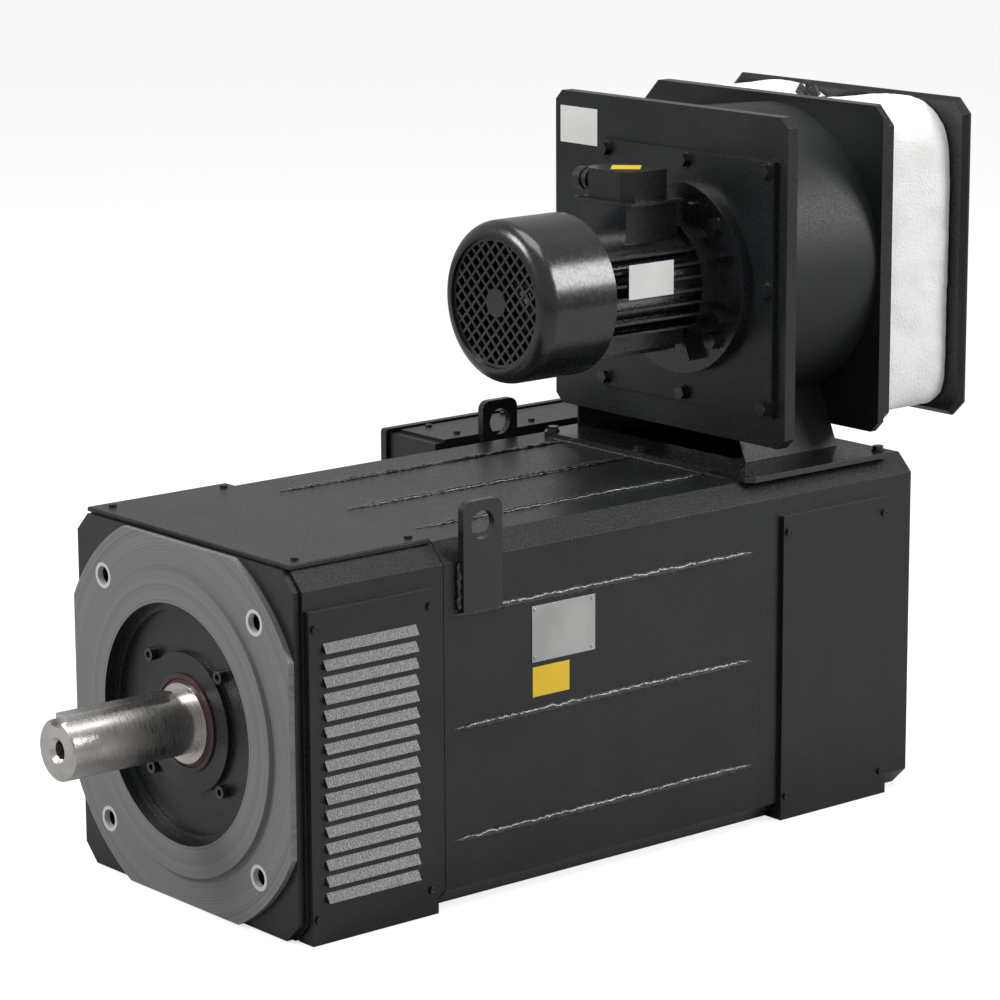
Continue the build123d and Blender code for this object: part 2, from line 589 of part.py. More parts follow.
BACK_X0 = -187.0
with BuildPart() as blower_back_plate:
    for y0, y1, c in ((YB, YB + 8, 11), (YB + 8, YB + 16, 20)):
        prism_y([(BACK_X0 + c, PLATE_Z0), (PLATE_HX - c, PLATE_Z0), (PLATE_HX, PLATE_Z0 + c),
                 (PLATE_HX, PLATE_Z1 + 1 - c), (PLATE_HX - c, PLATE_Z1 + 1),
                 (BACK_X0 + 24, PLATE_Z1 + 1), (BACK_X0, PLATE_Z1 - 23), (BACK_X0, PLATE_Z0 + c)],
                y0, y1)
    block(BACK_X0 + 10, PLATE_HX - 10, YB + 3, YB + 13, PLATE_Z0 + 10, PLATE_Z1 - 26, Mode.SUBTRACT)
    cyl_y(104, YB - 1, YB + 17, FAN_X, FZ, Mode.SUBTRACT)
    cyl_y(116, YB, YB + 16, FAN_X, FZ)
    cyl_y(104, YB - 1, YB + 17, FAN_X, FZ, Mode.SUBTRACT)
blower_back_plate.part.label = "blower_back_plate"

with BuildPart() as inlet_cone:
    with BuildSketch(Plane.XY) as bell:
        with BuildLine():
            Polyline((103.9, YB + 14), (103.9, YB - 2), (92, YB - 20), (89, YB - 20),
                     (98, YB + 4), (98, YB + 14), close=True)
        make_face()
    revolve(bell.sketch, axis=Axis.Y)
inlet_cone.part.locate(Location((FAN_X, 0, FZ)))
inlet_cone.part.label = "inlet_cone"

with BuildPart() as adapter_plate:
    block(AD_X - AD, AD_X + AD, YP - 6, YP - SEAT, FZ - 1 - AD, FZ - 1 + AD)
    cyl_y(65 + RUN, YP - 7, YP + 1, FAN_X, FZ, Mode.SUBTRACT)
    for i, k in GRID:
        cyl_y(4.2, YP - 7, YP + 1, AD_X + i * AD_B, FZ - 1 + k * AD_B, Mode.SUBTRACT)
    with Locations(at_y(YP - 6, FAN_X, FZ)):
        with PolarLocations(FAN_PCD / 2, 4, 45):
            Hole(5.1)
adapter_plate.part.label = "adapter_plate"

with BuildPart() as blower_bolts:
    for i, k in GRID:
        hex_bolt(at_y(YP - 6 - SEAT, AD_X + i * AD_B, FZ - 1 + k * AD_B), 7.5, 7, 4, 12, 8.5)
    for i in (-1, 1):
        for k in (-1, 1):
            hex_bolt(at_y(YP - 18 - SEAT, FAN_X + i * FAN_PCD / 8 ** 0.5, FZ + k * FAN_PCD / 8 ** 0.5),
                     9, 8, 5, 16, 10)
    for x in (-138, 0, 162):
        for y in (YR - 4, YB + 16):
            hex_bolt(Plane(origin=(x, y, H + 5.8 + SEAT)), 6, 5, 3.2, 5.5, 7)
blower_bolts.part.label = "blower_bolts"

# --- fan motor ---------------------------------------------------------------------------------------------
FS_R = 9.5
with BuildPart() as fan_motor_flange:
    cyl_y(FAN_FLANGE_D / 2, YP - 18, YP - 6 - SEAT, FAN_X, FZ)
    cyl_y(65, YP - 8, YP - 2, FAN_X, FZ)
    cyl_y(66, YP - 42, YP - 17, FAN_X, FZ)
    for k in range(8):
        with Locations(Location((FAN_X, YP - 24, FZ)) * Rotation(0, 22.5 + 45 * k, 0)):
            with Locations((76, 0, 0)):
                Box(24, 16, 5)
    cyl_y(FS_R + RUN, YP - 43, YP, FAN_X, FZ, Mode.SUBTRACT)
    with Locations(at_y(YP - 18, FAN_X, FZ)):
        with PolarLocations(FAN_PCD / 2, 4, 45):
            Hole(5.1)
fan_motor_flange.part.label = "fan_motor_flange"

FM_Y = (YP - 178, YP - 42 - SEAT)
with BuildPart() as fan_motor_housing:
    cyl_y(58, FM_Y[0], FM_Y[1], FAN_X, FZ)
    for k in range(-3, 4):
        z = 13 * k
        block(FAN_X - (72 ** 2 - z ** 2) ** 0.5, FAN_X + (72 ** 2 - z ** 2) ** 0.5,
              FM_Y[0] + 4, FM_Y[1] - 2, FZ + z - 1.3, FZ + z + 1.3)
    for k in range(-3, 4):
        x = 13 * k
        block(FAN_X + x - 1.3, FAN_X + x + 1.3, FM_Y[0] + 4, FM_Y[1] - 2,
              FZ - (72 ** 2 - x ** 2) ** 0.5, FZ)
    block(FAN_X - 34, FAN_X + 34, YP - 118, YP - 48, FZ, FZ + 86)
    block(FAN_X - 44, FAN_X + 44, YP - 120, YP - 47, FZ + 86, FZ + 89)
    cyl_y(COWL_R - SHEET - 0.4, FM_Y[0], FM_Y[0] + 6, FAN_X, FZ)
    cyl_y(52, FM_Y[0] + 8, FM_Y[1] + 1, FAN_X, FZ, Mode.SUBTRACT)
    cyl_y(FS_R + RUN, FM_Y[0] - 1, FM_Y[1], FAN_X, FZ, Mode.SUBTRACT)
fan_motor_housing.part.label = "fan_motor_housing"

with BuildPart() as fan_motor_stator:
    cyl_y(52 - SEAT, FM_Y[0] + 20, FM_Y[0] + 112, FAN_X, FZ)
    cyl_y(35, FM_Y[0] + 19, FM_Y[0] + 113, FAN_X, FZ, Mode.SUBTRACT)
fan_motor_stator.part.label = "fan_motor_stator"

IMP_Y = (YP + 12, YB - 24)
with BuildPart() as fan_motor_rotor:
    cyl_y(34.5, FM_Y[0] + 24, FM_Y[0] + 108, FAN_X, FZ)
    cyl_y(FS_R, FM_Y[0] - 44, IMP_Y[0] + 26, FAN_X, FZ)
fan_motor_rotor.part.label = "fan_motor_rotor"

with BuildPart() as impeller:
    cyl_y(IMPELLER_D / 2, IMP_Y[0], IMP_Y[0] + 2, FAN_X, FZ)
    cyl_y(20, IMP_Y[0], IMP_Y[0] + 26, FAN_X, FZ)
    with Locations(at_y((IMP_Y[0] + IMP_Y[1]) / 2, FAN_X, FZ)):
        with PolarLocations(IMPELLER_D / 2 - 12, 30):
            Box(22, 2, IMP_Y[1] - IMP_Y[0], rotation=(0, 0, 35))
    cyl_y(IMPELLER_D / 2, IMP_Y[1] - 3, IMP_Y[1], FAN_X, FZ)
    cyl_y(IMPELLER_D / 2 - 22, IMP_Y[1] - 4, IMP_Y[1] + 1, FAN_X, FZ, Mode.SUBTRACT)
    cyl_y(FS_R + 0.02, IMP_Y[0] - 1, IMP_Y[0] + 27, FAN_X, FZ, Mode.SUBTRACT)
impeller.part.label = "impeller"

COWL_Y = (YP - 264, YP - 178)
with BuildPart() as cooling_fan:
    cyl_y(16, COWL_Y[0] + 46, COWL_Y[0] + 74, FAN_X, FZ)
    with Locations(at_y(COWL_Y[0] + 60, FAN_X, FZ)):
        with PolarLocations(38, 7):
            Box(52, 2.5, 24)
    cyl_y(FS_R + 0.02, COWL_Y[0] + 45, COWL_Y[0] + 75, FAN_X, FZ, Mode.SUBTRACT)
cooling_fan.part.label = "cooling_fan"

with BuildPart() as fan_cowl:
    cyl_y(COWL_R, COWL_Y[0], COWL_Y[1] + 6, FAN_X, FZ)
    fillet(fan_cowl.edges().group_by(Axis.Y)[0], 16)
    cyl_y(COWL_R - 2, COWL_Y[0] + 18, COWL_Y[1] + 7, FAN_X, FZ, Mode.SUBTRACT)
    cyl_y(65.5, COWL_Y[0] - 1, COWL_Y[0] + 20, FAN_X, FZ, Mode.SUBTRACT)
fan_cowl.part.label = "fan_cowl"

with BuildPart() as fan_grille:
    cyl_y(65.4, COWL_Y[0] + 3, COWL_Y[0] + 6, FAN_X, FZ)
    cyl_y(62, COWL_Y[0] + 2, COWL_Y[0] + 7, FAN_X, FZ, Mode.SUBTRACT)
    with BuildSketch(at_y(COWL_Y[0] + 6, FAN_X, FZ)) as mesh:
        with Locations(Rotation(0, 0, 45)):
            for k in range(-5, 6):
                half = (63 ** 2 - (10.6 * k) ** 2) ** 0.5
                with Locations((0, 10.6 * k)):
                    Rectangle(2 * half, 2.8)
                with Locations((10.6 * k, 0)):
                    Rectangle(2.8, 2 * half)
        Circle(14.5)
    extrude(mesh.sketch, amount=2.6)
fan_grille.part.label = "fan_grille"

with BuildPart() as fan_box_lid:
    block(FAN_X - 39, FAN_X + 31, YP - 114, YP - 50, FZ + 89 + SEAT, BOX_TOP)
    chamfer(fan_box_lid.edges().filter_by(Axis.Z), 11)
    block(FAN_X - 33, FAN_X + 25, YP - 108, YP - 56, FZ + 88, BOX_TOP - 4, Mode.SUBTRACT)
    cyl_x(8, FAN_X - 40, FAN_X - 30, YP - 98, FZ + 105, Mode.SUBTRACT)
fan_box_lid.part.label = "fan_box_lid"

with BuildPart() as cable_gland:
    gx = FAN_X - 39 - SEAT
    cyl_x(7.9, gx - 1, gx + 8, YP - 98, FZ + 105)
    cyl_x(11, gx - 5, gx, YP - 98, FZ + 105)
    cyl_x(9.5, gx - 22, gx - 4, YP - 98, FZ + 105)
    cyl_x(11.5, gx - 20, gx - 9, YP - 98, FZ + 105)
    cyl_x(5, gx - 23, gx + 9, YP - 98, FZ + 105, Mode.SUBTRACT)
cable_gland.part.label = "cable_gland"

# --- air filter ----------------------------------------------------------------------------------------------
FX = 163.0
with BuildPart() as filter_fleece:
    with BuildSketch(Plane.XZ.offset(-Y_FLEECE - FLEECE_L)) as ring:
        with Locations((0, H + 195)):
            RectangleRounded(2 * FX, 326, 40)
            RectangleRounded(2 * FX - 26, 300, 28, mode=Mode.SUBTRACT)
        with Locations((0, H + 360)):
            Rectangle(30, 34, mode=Mode.SUBTRACT)
    extrude(ring.sketch, amount=FLEECE_L)
filter_fleece.part.label = "filter_fleece"

with BuildPart() as filter_cage:
    with BuildSketch(Plane.XZ.offset(-Y_FLEECE - FLEECE_L)) as rim:
        with Locations((0, H + 195)):
            RectangleRounded(2 * FX - 26.6, 299.4, 27.7)
            RectangleRounded(2 * FX - 38, 288, 23, mode=Mode.SUBTRACT)
    extrude(rim.sketch, amount=FLEECE_L + 0.3)
    block(-110, 110, Y_FLEECE + 8, Y_FLEECE + FLEECE_L - 8, H + 40, H + 350, Mode.SUBTRACT)
    block(-170, 170, Y_FLEECE + 8, Y_FLEECE + FLEECE_L - 8, H + 85, H + 305, Mode.SUBTRACT)
    block(-9, 9, Y_FLEECE, Y_FLEECE + FLEECE_L, H + 339.2, H + 344.6)
    cyl_z(3, H + 343, H + 374, 0, Y_FLEECE + 50)
filter_cage.part.label = "filter_cage"

with BuildPart() as filter_plate:
    prism_y(octagon(PLATE_HX + 2, PLATE_Z0 + 1, PLATE_Z1, 16), Y_FILTER, Y_FILTER + 8)
    chamfer(filter_plate.edges().group_by(Axis.Y)[0], 5)
    block(-PLATE_HX + 8, PLATE_HX - 8, Y_FILTER + 2.5, Y_FILTER + 9, PLATE_Z0 + 12, PLATE_Z1 - 12,
          Mode.SUBTRACT)
filter_plate.part.label = "filter_plate"

BAR_Z = H + 354.0
with BuildPart() as clamp_bar:
    block(-12, 12, Y_FLEECE + 2, Y_FLEECE + FLEECE_L - 2, BAR_Z - 9, BAR_Z - 6)
    block(-12, -9, Y_FLEECE + 2, Y_FLEECE + FLEECE_L - 2, BAR_Z - 9, BAR_Z)
    block(9, 12, Y_FLEECE + 2, Y_FLEECE + FLEECE_L - 2, BAR_Z - 9, BAR_Z)
    cyl_z(3.1, BAR_Z - 10, BAR_Z, 0, Y_FLEECE + 50, Mode.SUBTRACT)
clamp_bar.part.label = "clamp_bar"

with BuildPart() as wing_nut:
    cyl_z(6.5, BAR_Z - 6 + SEAT, BAR_Z + 8, 0, Y_FLEECE + 50)
    for s in (-1, 1):
        with Locations((s * 10, Y_FLEECE + 50, BAR_Z + 9)):
            Box(11, 3, 12, rotation=(0, -s * 35, 0))
    cyl_z(3.05, BAR_Z - 7, BAR_Z + 12, 0, Y_FLEECE + 50, Mode.SUBTRACT)
wing_nut.part.label = "wing_nut"

# --- rotor -----------------------------------------------------------------------------------------------------
with BuildPart() as shaft:
    cyl_y(SHAFT_D / 2, -SHAFT_L, 3)
    chamfer(shaft.edges().group_by(Axis.Y)[0], 1.5)
    cyl_y(BRG_ID / 2, 2.5, BRG1 + BRG_W)
    cyl_y(BRG_ID / 2 + 4.5, BRG1 + BRG_W, CORE0 - 10)
    cyl_y(45, CORE0 - 11, CORE1 + 11)
    cyl_y(BRG_ID / 2 + 4.5, CORE1 + 10, BRG2)
    cyl_y(BRG_ID / 2, BRG2 - 1, BRG2 + BRG_W + 4)
    cyl_y(10, BRG2 + BRG_W, ENC_Y + 34)
    cyl_y(THREAD_D / 2, -SHAFT_L - 1, -SHAFT_L + 46, mode=Mode.SUBTRACT)
    with Locations(at_y(-SHAFT_L + 2)):
        Cone(THREAD_D / 2, 13, 4.3, mode=Mode.SUBTRACT)
    key_y = -9.0
    block(-KEY_W / 2, KEY_W / 2, -SHAFT_L - 1, key_y - KEY_W / 2,
          SHAFT_D / 2 - KEY_SEAT, SHAFT_D / 2 + 5, Mode.SUBTRACT)
    cyl_z(KEY_W / 2, SHAFT_D / 2 - KEY_SEAT, SHAFT_D / 2 + 5, 0, key_y - KEY_W / 2, Mode.SUBTRACT)
shaft.part.label = "shaft"

with BuildPart() as shaft_key:
    w = KEY_W / 2 - 0.02
    block(-w, w, key_y - KEY_L, key_y - KEY_W / 2,
          SHAFT_D / 2 - KEY_SEAT + 0.02, SHAFT_D / 2 - KEY_SEAT + KEY_H)
    cyl_z(w, SHAFT_D / 2 - KEY_SEAT + 0.02, SHAFT_D / 2 - KEY_SEAT + KEY_H, 0, key_y - KEY_W / 2)
shaft_key.part.label = "shaft_key"

with BuildPart() as seal_sleeve:
    cyl_y(SLEEVE_R, 3, BRG1 - SEAT)
    cyl_y(BRG_ID / 2 + 0.02, 2, BRG1 + 1, mode=Mode.SUBTRACT)
seal_sleeve.part.label = "seal_sleeve"

with BuildPart() as rotor_core:
    cyl_y(ROTOR_D / 2, CORE0, CORE1)
    cyl_y(45.02, CORE0 - 1, CORE1 + 1, mode=Mode.SUBTRACT)
    with Locations(at_y((CORE0 + CORE1) / 2)):
        with PolarLocations(97, 20):
            Cylinder(5.1, CORE_L + 2, mode=Mode.SUBTRACT)
        with PolarLocations(66, 8):
            Cylinder(9, CORE_L + 2, mode=Mode.SUBTRACT)
rotor_core.part.label = "rotor_core"

with BuildPart() as rotor_cage:
    with Locations(at_y((CORE0 + CORE1) / 2)):
        with PolarLocations(97, 20):
            Cylinder(5, CORE_L + 4)
    for y0, y1 in ((CORE0 - 14, CORE0 - SEAT), (CORE1 + SEAT, CORE1 + 14)):
        cyl_y(105, y0, y1)
        cyl_y(80, y0 - 1, y1 + 1, mode=Mode.SUBTRACT)
rotor_cage.part.label = "rotor_cage"

# --- output ------------------------------------------------------------------------------------------------------
PIECES = [
    flange_shield, bearing_cap_screws, shaft_seal, de_bearing_cap, nde_shield, nde_bearing_cap,
    encoder_body, bearing_outer_rings, bearing_inner_rings, bearing_balls, stator_core,
    stator_windings, stator_frame, front_housing, rear_housing, rear_end_plate, top_cover,
    louvre_panel_right, louvre_panel_left, side_panel_right, cover_screws, lifting_eyes, nameplate,
    yellow_labels, white_labels, terminal_box, terminal_box_gasket, terminal_box_lid, gland_plate,
    terminal_block, terminal_studs, terminal_box_screws, blower_base, blower_front_plate,
    blower_back_plate, blower_scroll, inlet_cone, adapter_plate, blower_bolts, fan_motor_flange,
    fan_motor_housing, fan_motor_stator, fan_motor_rotor, impeller, cooling_fan, fan_cowl,
    fan_grille, fan_box_lid, cable_gland, filter_fleece, filter_cage, filter_plate, clamp_bar,
    wing_nut, shaft, shaft_key, seal_sleeve, rotor_core, rotor_cage,
]
for piece in PIECES:
    export_step(piece.part, "parts/" + piece.part.label + ".step")
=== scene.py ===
import json
import math
import random

import bmesh
import bpy
from mathutils import Matrix, Vector, noise


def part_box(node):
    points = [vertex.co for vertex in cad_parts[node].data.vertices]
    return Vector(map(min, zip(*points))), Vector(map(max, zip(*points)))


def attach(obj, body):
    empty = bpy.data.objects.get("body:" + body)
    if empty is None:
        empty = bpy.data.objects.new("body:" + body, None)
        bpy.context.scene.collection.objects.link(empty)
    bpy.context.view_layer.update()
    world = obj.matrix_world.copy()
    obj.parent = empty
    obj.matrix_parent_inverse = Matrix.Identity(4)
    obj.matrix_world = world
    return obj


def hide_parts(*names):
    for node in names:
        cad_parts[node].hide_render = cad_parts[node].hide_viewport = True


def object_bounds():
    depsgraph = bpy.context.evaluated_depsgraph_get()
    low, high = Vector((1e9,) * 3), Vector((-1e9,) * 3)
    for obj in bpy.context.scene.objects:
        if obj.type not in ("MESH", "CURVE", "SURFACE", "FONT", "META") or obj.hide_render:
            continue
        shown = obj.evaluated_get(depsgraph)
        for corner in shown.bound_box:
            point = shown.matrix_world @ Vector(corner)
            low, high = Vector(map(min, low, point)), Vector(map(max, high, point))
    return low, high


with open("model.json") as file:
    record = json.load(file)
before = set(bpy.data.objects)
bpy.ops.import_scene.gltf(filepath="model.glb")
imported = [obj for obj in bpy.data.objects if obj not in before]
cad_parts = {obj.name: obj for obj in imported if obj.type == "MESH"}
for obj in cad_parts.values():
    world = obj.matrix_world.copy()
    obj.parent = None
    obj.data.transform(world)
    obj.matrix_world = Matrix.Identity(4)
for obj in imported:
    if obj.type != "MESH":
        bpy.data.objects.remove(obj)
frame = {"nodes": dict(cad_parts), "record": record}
CAD_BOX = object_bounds()
NODES = frame["nodes"]
MM = 0.001

# ---------------------------------------------------------------- materials


def new_material(name):
    mat = bpy.data.materials.new(name)
    mat.use_nodes = True
    return mat, mat.node_tree.nodes, mat.node_tree.links, mat.node_tree.nodes["Principled BSDF"]


def noise_node(nodes, links, coords, scale, detail=3.0, stretch=None):
    tex = nodes.new("ShaderNodeTexNoise")
    tex.inputs["Scale"].default_value = scale
    tex.inputs["Detail"].default_value = detail
    source = coords.outputs["Object"]
    if stretch:
        mapping = nodes.new("ShaderNodeMapping")
        mapping.inputs["Scale"].default_value = stretch
        links.new(source, mapping.inputs["Vector"])
        source = mapping.outputs["Vector"]
    links.new(source, tex.inputs["Vector"])
    return tex


def ramp(nodes, links, value, low, high, stops=(0.35, 0.65)):
    node = nodes.new("ShaderNodeValToRGB")
    node.color_ramp.elements[0].position = stops[0]
    node.color_ramp.elements[1].position = stops[1]
    node.color_ramp.elements[0].color = (*low, 1)
    node.color_ramp.elements[1].color = (*high, 1)
    links.new(value, node.inputs["Fac"])
    return node


def add_bump(nodes, links, shader, height, strength, distance, bevel=0.0):
    bump = nodes.new("ShaderNodeBump")
    bump.inputs["Strength"].default_value = strength
    bump.inputs["Distance"].default_value = distance
    links.new(height, bump.inputs["Height"])
    if bevel:
        soft = nodes.new("ShaderNodeBevel")
        soft.samples = 4
        soft.inputs["Radius"].default_value = bevel
        links.new(soft.outputs["Normal"], bump.inputs["Normal"])
    links.new(bump.outputs["Normal"], shader.inputs["Normal"])


def surface(name, low, high, rough, metallic=0.0, grain=500.0, bump=0.2, depth=0.0003,
            tone=14.0, coat=0.0, stretch=None, bevel=0.0006):
    mat, nodes, links, shader = new_material(name)
    coords = nodes.new("ShaderNodeTexCoord")
    patches = noise_node(nodes, links, coords, tone)
    colour = ramp(nodes, links, patches.outputs["Fac"], low, high)
    links.new(colour.outputs["Color"], shader.inputs["Base Color"])
    fine = noise_node(nodes, links, coords, grain, 2.0, stretch)
    gloss = ramp(nodes, links, fine.outputs["Fac"], (rough[0],) * 3, (rough[1],) * 3)
    links.new(gloss.outputs["Color"], shader.inputs["Roughness"])
    shader.inputs["Metallic"].default_value = metallic
    shader.inputs["Coat Weight"].default_value = coat
    shader.inputs["Coat Roughness"].default_value = 0.25
    add_bump(nodes, links, shader, fine.outputs["Fac"], bump, depth, bevel)
    return mat


HOLE_XZ = 0.12374      # the flange holes lie on the diagonals
HOLE_HIGHLIGHT_R = 0.0128        # painted highlight: a pale ring round each hole stands in for light caught by the countersink


def flange_material(base):
    """Bare machined steel on the face and spigot, paint in the recess and on the corners."""
    mat = base.copy()
    mat.name = "flange_paint_and_machined_face"
    nodes, links = mat.node_tree.nodes, mat.node_tree.links
    shader = nodes["Principled BSDF"]
    coords = nodes.new("ShaderNodeTexCoord")
    split = nodes.new("ShaderNodeSeparateXYZ")
    links.new(coords.outputs["Object"], split.inputs["Vector"])

    def math_node(kind, a, b):
        node = nodes.new("ShaderNodeMath")
        node.operation = kind
        for socket, value in zip(node.inputs, (a, b)):
            if isinstance(value, float):
                socket.default_value = value
            else:
                links.new(value, socket)
        return node.outputs["Value"]

    x2 = math_node("MULTIPLY", split.outputs["X"], split.outputs["X"])
    z2 = math_node("MULTIPLY", split.outputs["Z"], split.outputs["Z"])
    radius2 = math_node("ADD", x2, z2)
    outside = math_node("GREATER_THAN", radius2, 0.1187 ** 2)
    front = math_node("LESS_THAN", split.outputs["Y"], 0.0062)
    mask = math_node("MULTIPLY", outside, front)
    turned = nodes.new("ShaderNodeTexNoise")
    turned.inputs["Scale"].default_value = 900.0
    links.new(radius2, turned.inputs["Vector"])
    bare = ramp(nodes, links, turned.outputs["Fac"], (0.135, 0.135, 0.135), (0.19, 0.19, 0.185))
    # painted highlight: a pale ring round each bolt hole on the machined face, standing in for
    # light on the countersinks
    dx = math_node("SUBTRACT", math_node("ABSOLUTE", split.outputs["X"], 0.0), HOLE_XZ)
    dz = math_node("SUBTRACT", math_node("ABSOLUTE", split.outputs["Z"], 0.0), HOLE_XZ)
    near2 = math_node("ADD", math_node("MULTIPLY", dx, dx), math_node("MULTIPLY", dz, dz))
    hole_highlight = math_node("LESS_THAN", near2, HOLE_HIGHLIGHT_R ** 2)
    highlighted_colour = nodes.new("ShaderNodeMix")
    highlighted_colour.data_type = "RGBA"
    links.new(hole_highlight, highlighted_colour.inputs["Factor"])
    links.new(bare.outputs["Color"], highlighted_colour.inputs["A"])
    highlighted_colour.inputs["B"].default_value = (0.55, 0.55, 0.54, 1)
    mix = nodes.new("ShaderNodeMix")
    mix.data_type = "RGBA"
    links.new(mask, mix.inputs["Factor"])
    links.new(shader.inputs["Base Color"].links[0].from_socket, mix.inputs["A"])
    links.new(highlighted_colour.outputs["Result"], mix.inputs["B"])
    links.new(mix.outputs["Result"], shader.inputs["Base Color"])
    rough = nodes.new("ShaderNodeMix")
    rough.data_type = "RGBA"
    links.new(mask, rough.inputs["Factor"])
    links.new(shader.inputs["Roughness"].links[0].from_socket, rough.inputs["A"])
    rough.inputs["B"].default_value = (0.55, 0.55, 0.55, 1)
    links.new(rough.outputs["Result"], shader.inputs["Roughness"])
    return mat


PAINT = surface("black_paint", (0.0045, 0.0060, 0.0068), (0.0085, 0.0105, 0.0118), (0.24, 0.42),
                grain=620, bump=0.6, depth=0.0005, coat=0.15)
GLOSS = surface("black_gloss_paint", (0.006, 0.007, 0.0085), (0.010, 0.012, 0.014), (0.16, 0.30),
                grain=240, bump=0.18, depth=0.0004, coat=0.5)
SATIN = surface("black_satin_paint", (0.0045, 0.0060, 0.0068), (0.0085, 0.0105, 0.0118),
                (0.48, 0.62), grain=620, bump=0.4, depth=0.0004)
# painted highlight: the bead colour is lighter than the black paint beside it, standing in for
# the highlights on the bead ridges
BEAD_HIGHLIGHTED = surface("weld_bead_paint_painted_highlight", (0.010, 0.012, 0.013), (0.03, 0.034, 0.036), (0.10, 0.22),
               grain=420, bump=0.8, depth=0.0008, coat=0.8, bevel=0)
FLANGE = flange_material(PAINT)
STEEL = surface("bright_steel", (0.50, 0.48, 0.45), (0.66, 0.64, 0.61), (0.20, 0.38), 1.0,
                grain=90, bump=0.12, depth=0.0001, tone=25, stretch=(1, 30, 1))
CAST = surface("primed_casting", (0.03, 0.03, 0.033), (0.05, 0.05, 0.053), (0.5, 0.7), grain=300)
LAMINATION = surface("lamination_steel", (0.22, 0.22, 0.23), (0.32, 0.32, 0.33), (0.35, 0.5), 0.9,
                     grain=60, bump=0.5, stretch=(1, 30, 1))
COPPER = surface("varnished_copper", (0.28, 0.08, 0.03), (0.45, 0.15, 0.05), (0.2, 0.4), 0.3,
                 grain=200, bump=0.6)
ALLOY = surface("aluminium_plate", (0.46, 0.46, 0.45), (0.58, 0.58, 0.57), (0.30, 0.45), 0.85,
                grain=120, bump=0.06, stretch=(1, 1, 20))
BRASS = surface("brass", (0.60, 0.42, 0.14), (0.75, 0.55, 0.22), (0.2, 0.35), 1.0)
SEAL = surface("seal_rubber", (0.040, 0.014, 0.018), (0.065, 0.022, 0.028), (0.3, 0.5), grain=400)
ZINC = surface("dark_zinc", (0.05, 0.05, 0.052), (0.10, 0.10, 0.10), (0.3, 0.45), 0.8)
GASKET = surface("gasket_rubber", (0.015, 0.015, 0.015), (0.025, 0.025, 0.025), (0.6, 0.8))
PLASTIC = surface("black_plastic", (0.012, 0.013, 0.014), (0.02, 0.021, 0.022), (0.35, 0.5),
                  grain=900, bump=0.1)
YELLOW = surface("yellow_film", (0.80, 0.52, 0.02), (0.88, 0.60, 0.04), (0.3, 0.4), grain=300,
                 bump=0.03)
WHITE = surface("white_film", (0.68, 0.69, 0.66), (0.76, 0.77, 0.74), (0.3, 0.42), grain=300,
                bump=0.03)
FLEECE = surface("filter_fleece_fibres", (0.82, 0.82, 0.81), (0.90, 0.90, 0.90), (0.9, 1.0),
                 grain=420, bump=0.8, depth=0.0012, tone=35, bevel=0)
FLEECE.node_tree.nodes["Principled BSDF"].inputs["Sheen Weight"].default_value = 0.3

SLOT_MATERIAL = {
    "painted": PAINT, "cast": CAST, "steel": STEEL, "lamination": LAMINATION, "copper": COPPER,
    "alloy": ALLOY, "brass": BRASS, "seal": SEAL, "gasket": GASKET, "plastic": PLASTIC,
    "yellow_label": YELLOW, "white_label": WHITE, "fleece": FLEECE,
}
GLOSSY = {"fan_cowl", "fan_motor_flange", "fan_motor_housing", "fan_grille",
          "blower_base", "blower_bolts", "bearing_cap_screws", "lifting_eyes"}
for part in frame["record"]["subparts"]:
    name = part["node"]
    mat = SLOT_MATERIAL[part["material_slot"]]
    if name in GLOSSY:
        mat = GLOSS
    if name == "blower_scroll":
        mat = SATIN
    if name in ("wing_nut", "clamp_bar", "filter_cage"):
        mat = ZINC
    if name == "flange_shield":
        mat = FLANGE
    NODES[name].data.materials.clear()
    NODES[name].data.materials.append(mat)

# ---------------------------------------------------------------- pieces


def add_piece(name, verts, faces, mat, body="housing", smooth=True):
    mesh = bpy.data.meshes.new(name)
    mesh.from_pydata([tuple(v) for v in verts], [], faces)
    mesh.validate()
    made = bmesh.new()
    made.from_mesh(mesh)
    bmesh.ops.recalc_face_normals(made, faces=made.faces)
    made.to_mesh(mesh)
    made.free()
    for face in mesh.polygons:
        face.use_smooth = smooth
    obj = bpy.data.objects.new(name, mesh)
    bpy.context.scene.collection.objects.link(obj)
    mesh.materials.append(mat)
    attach(obj, body)
    return obj


def weld_bead(name, start, end, normal, width, height, seed):
    """A rough half-round bead from start to end, proud of a flat face."""
    rng = random.Random(seed)
    start, end, normal = Vector(start), Vector(end), Vector(normal)
    along = end - start
    side = along.normalized().cross(normal)
    steps = max(8, int(along.length / 0.0035))
    sections = 7
    verts, faces = [], []
    for i in range(steps + 1):
        t = i / steps
        taper = min(1.0, 14 * t, 14 * (1 - t)) ** 0.5
        wide = width * taper * (0.75 + 0.5 * rng.random())
        tall = height * taper * (0.55 + 0.9 * rng.random())
        drift = side * (width * 0.25 * (rng.random() - 0.5))
        for k in range(sections):
            angle = math.pi * k / (sections - 1)
            point = start + along * t + drift
            point = point + side * (wide * math.cos(angle)) + normal * (tall * math.sin(angle))
            verts.append(point)
    for i in range(steps):
        for k in range(sections - 1):
            a = i * sections + k
            faces.append((a, a + 1, a + sections + 1, a + sections))
        a = i * sections
        faces.append((a + sections - 1, a, a + sections, a + 2 * sections - 1))
    faces.append(tuple(range(sections)))
    faces.append(tuple(steps * sections + k for k in reversed(range(sections))))
    return add_piece(name, verts, faces, BEAD_HIGHLIGHTED)


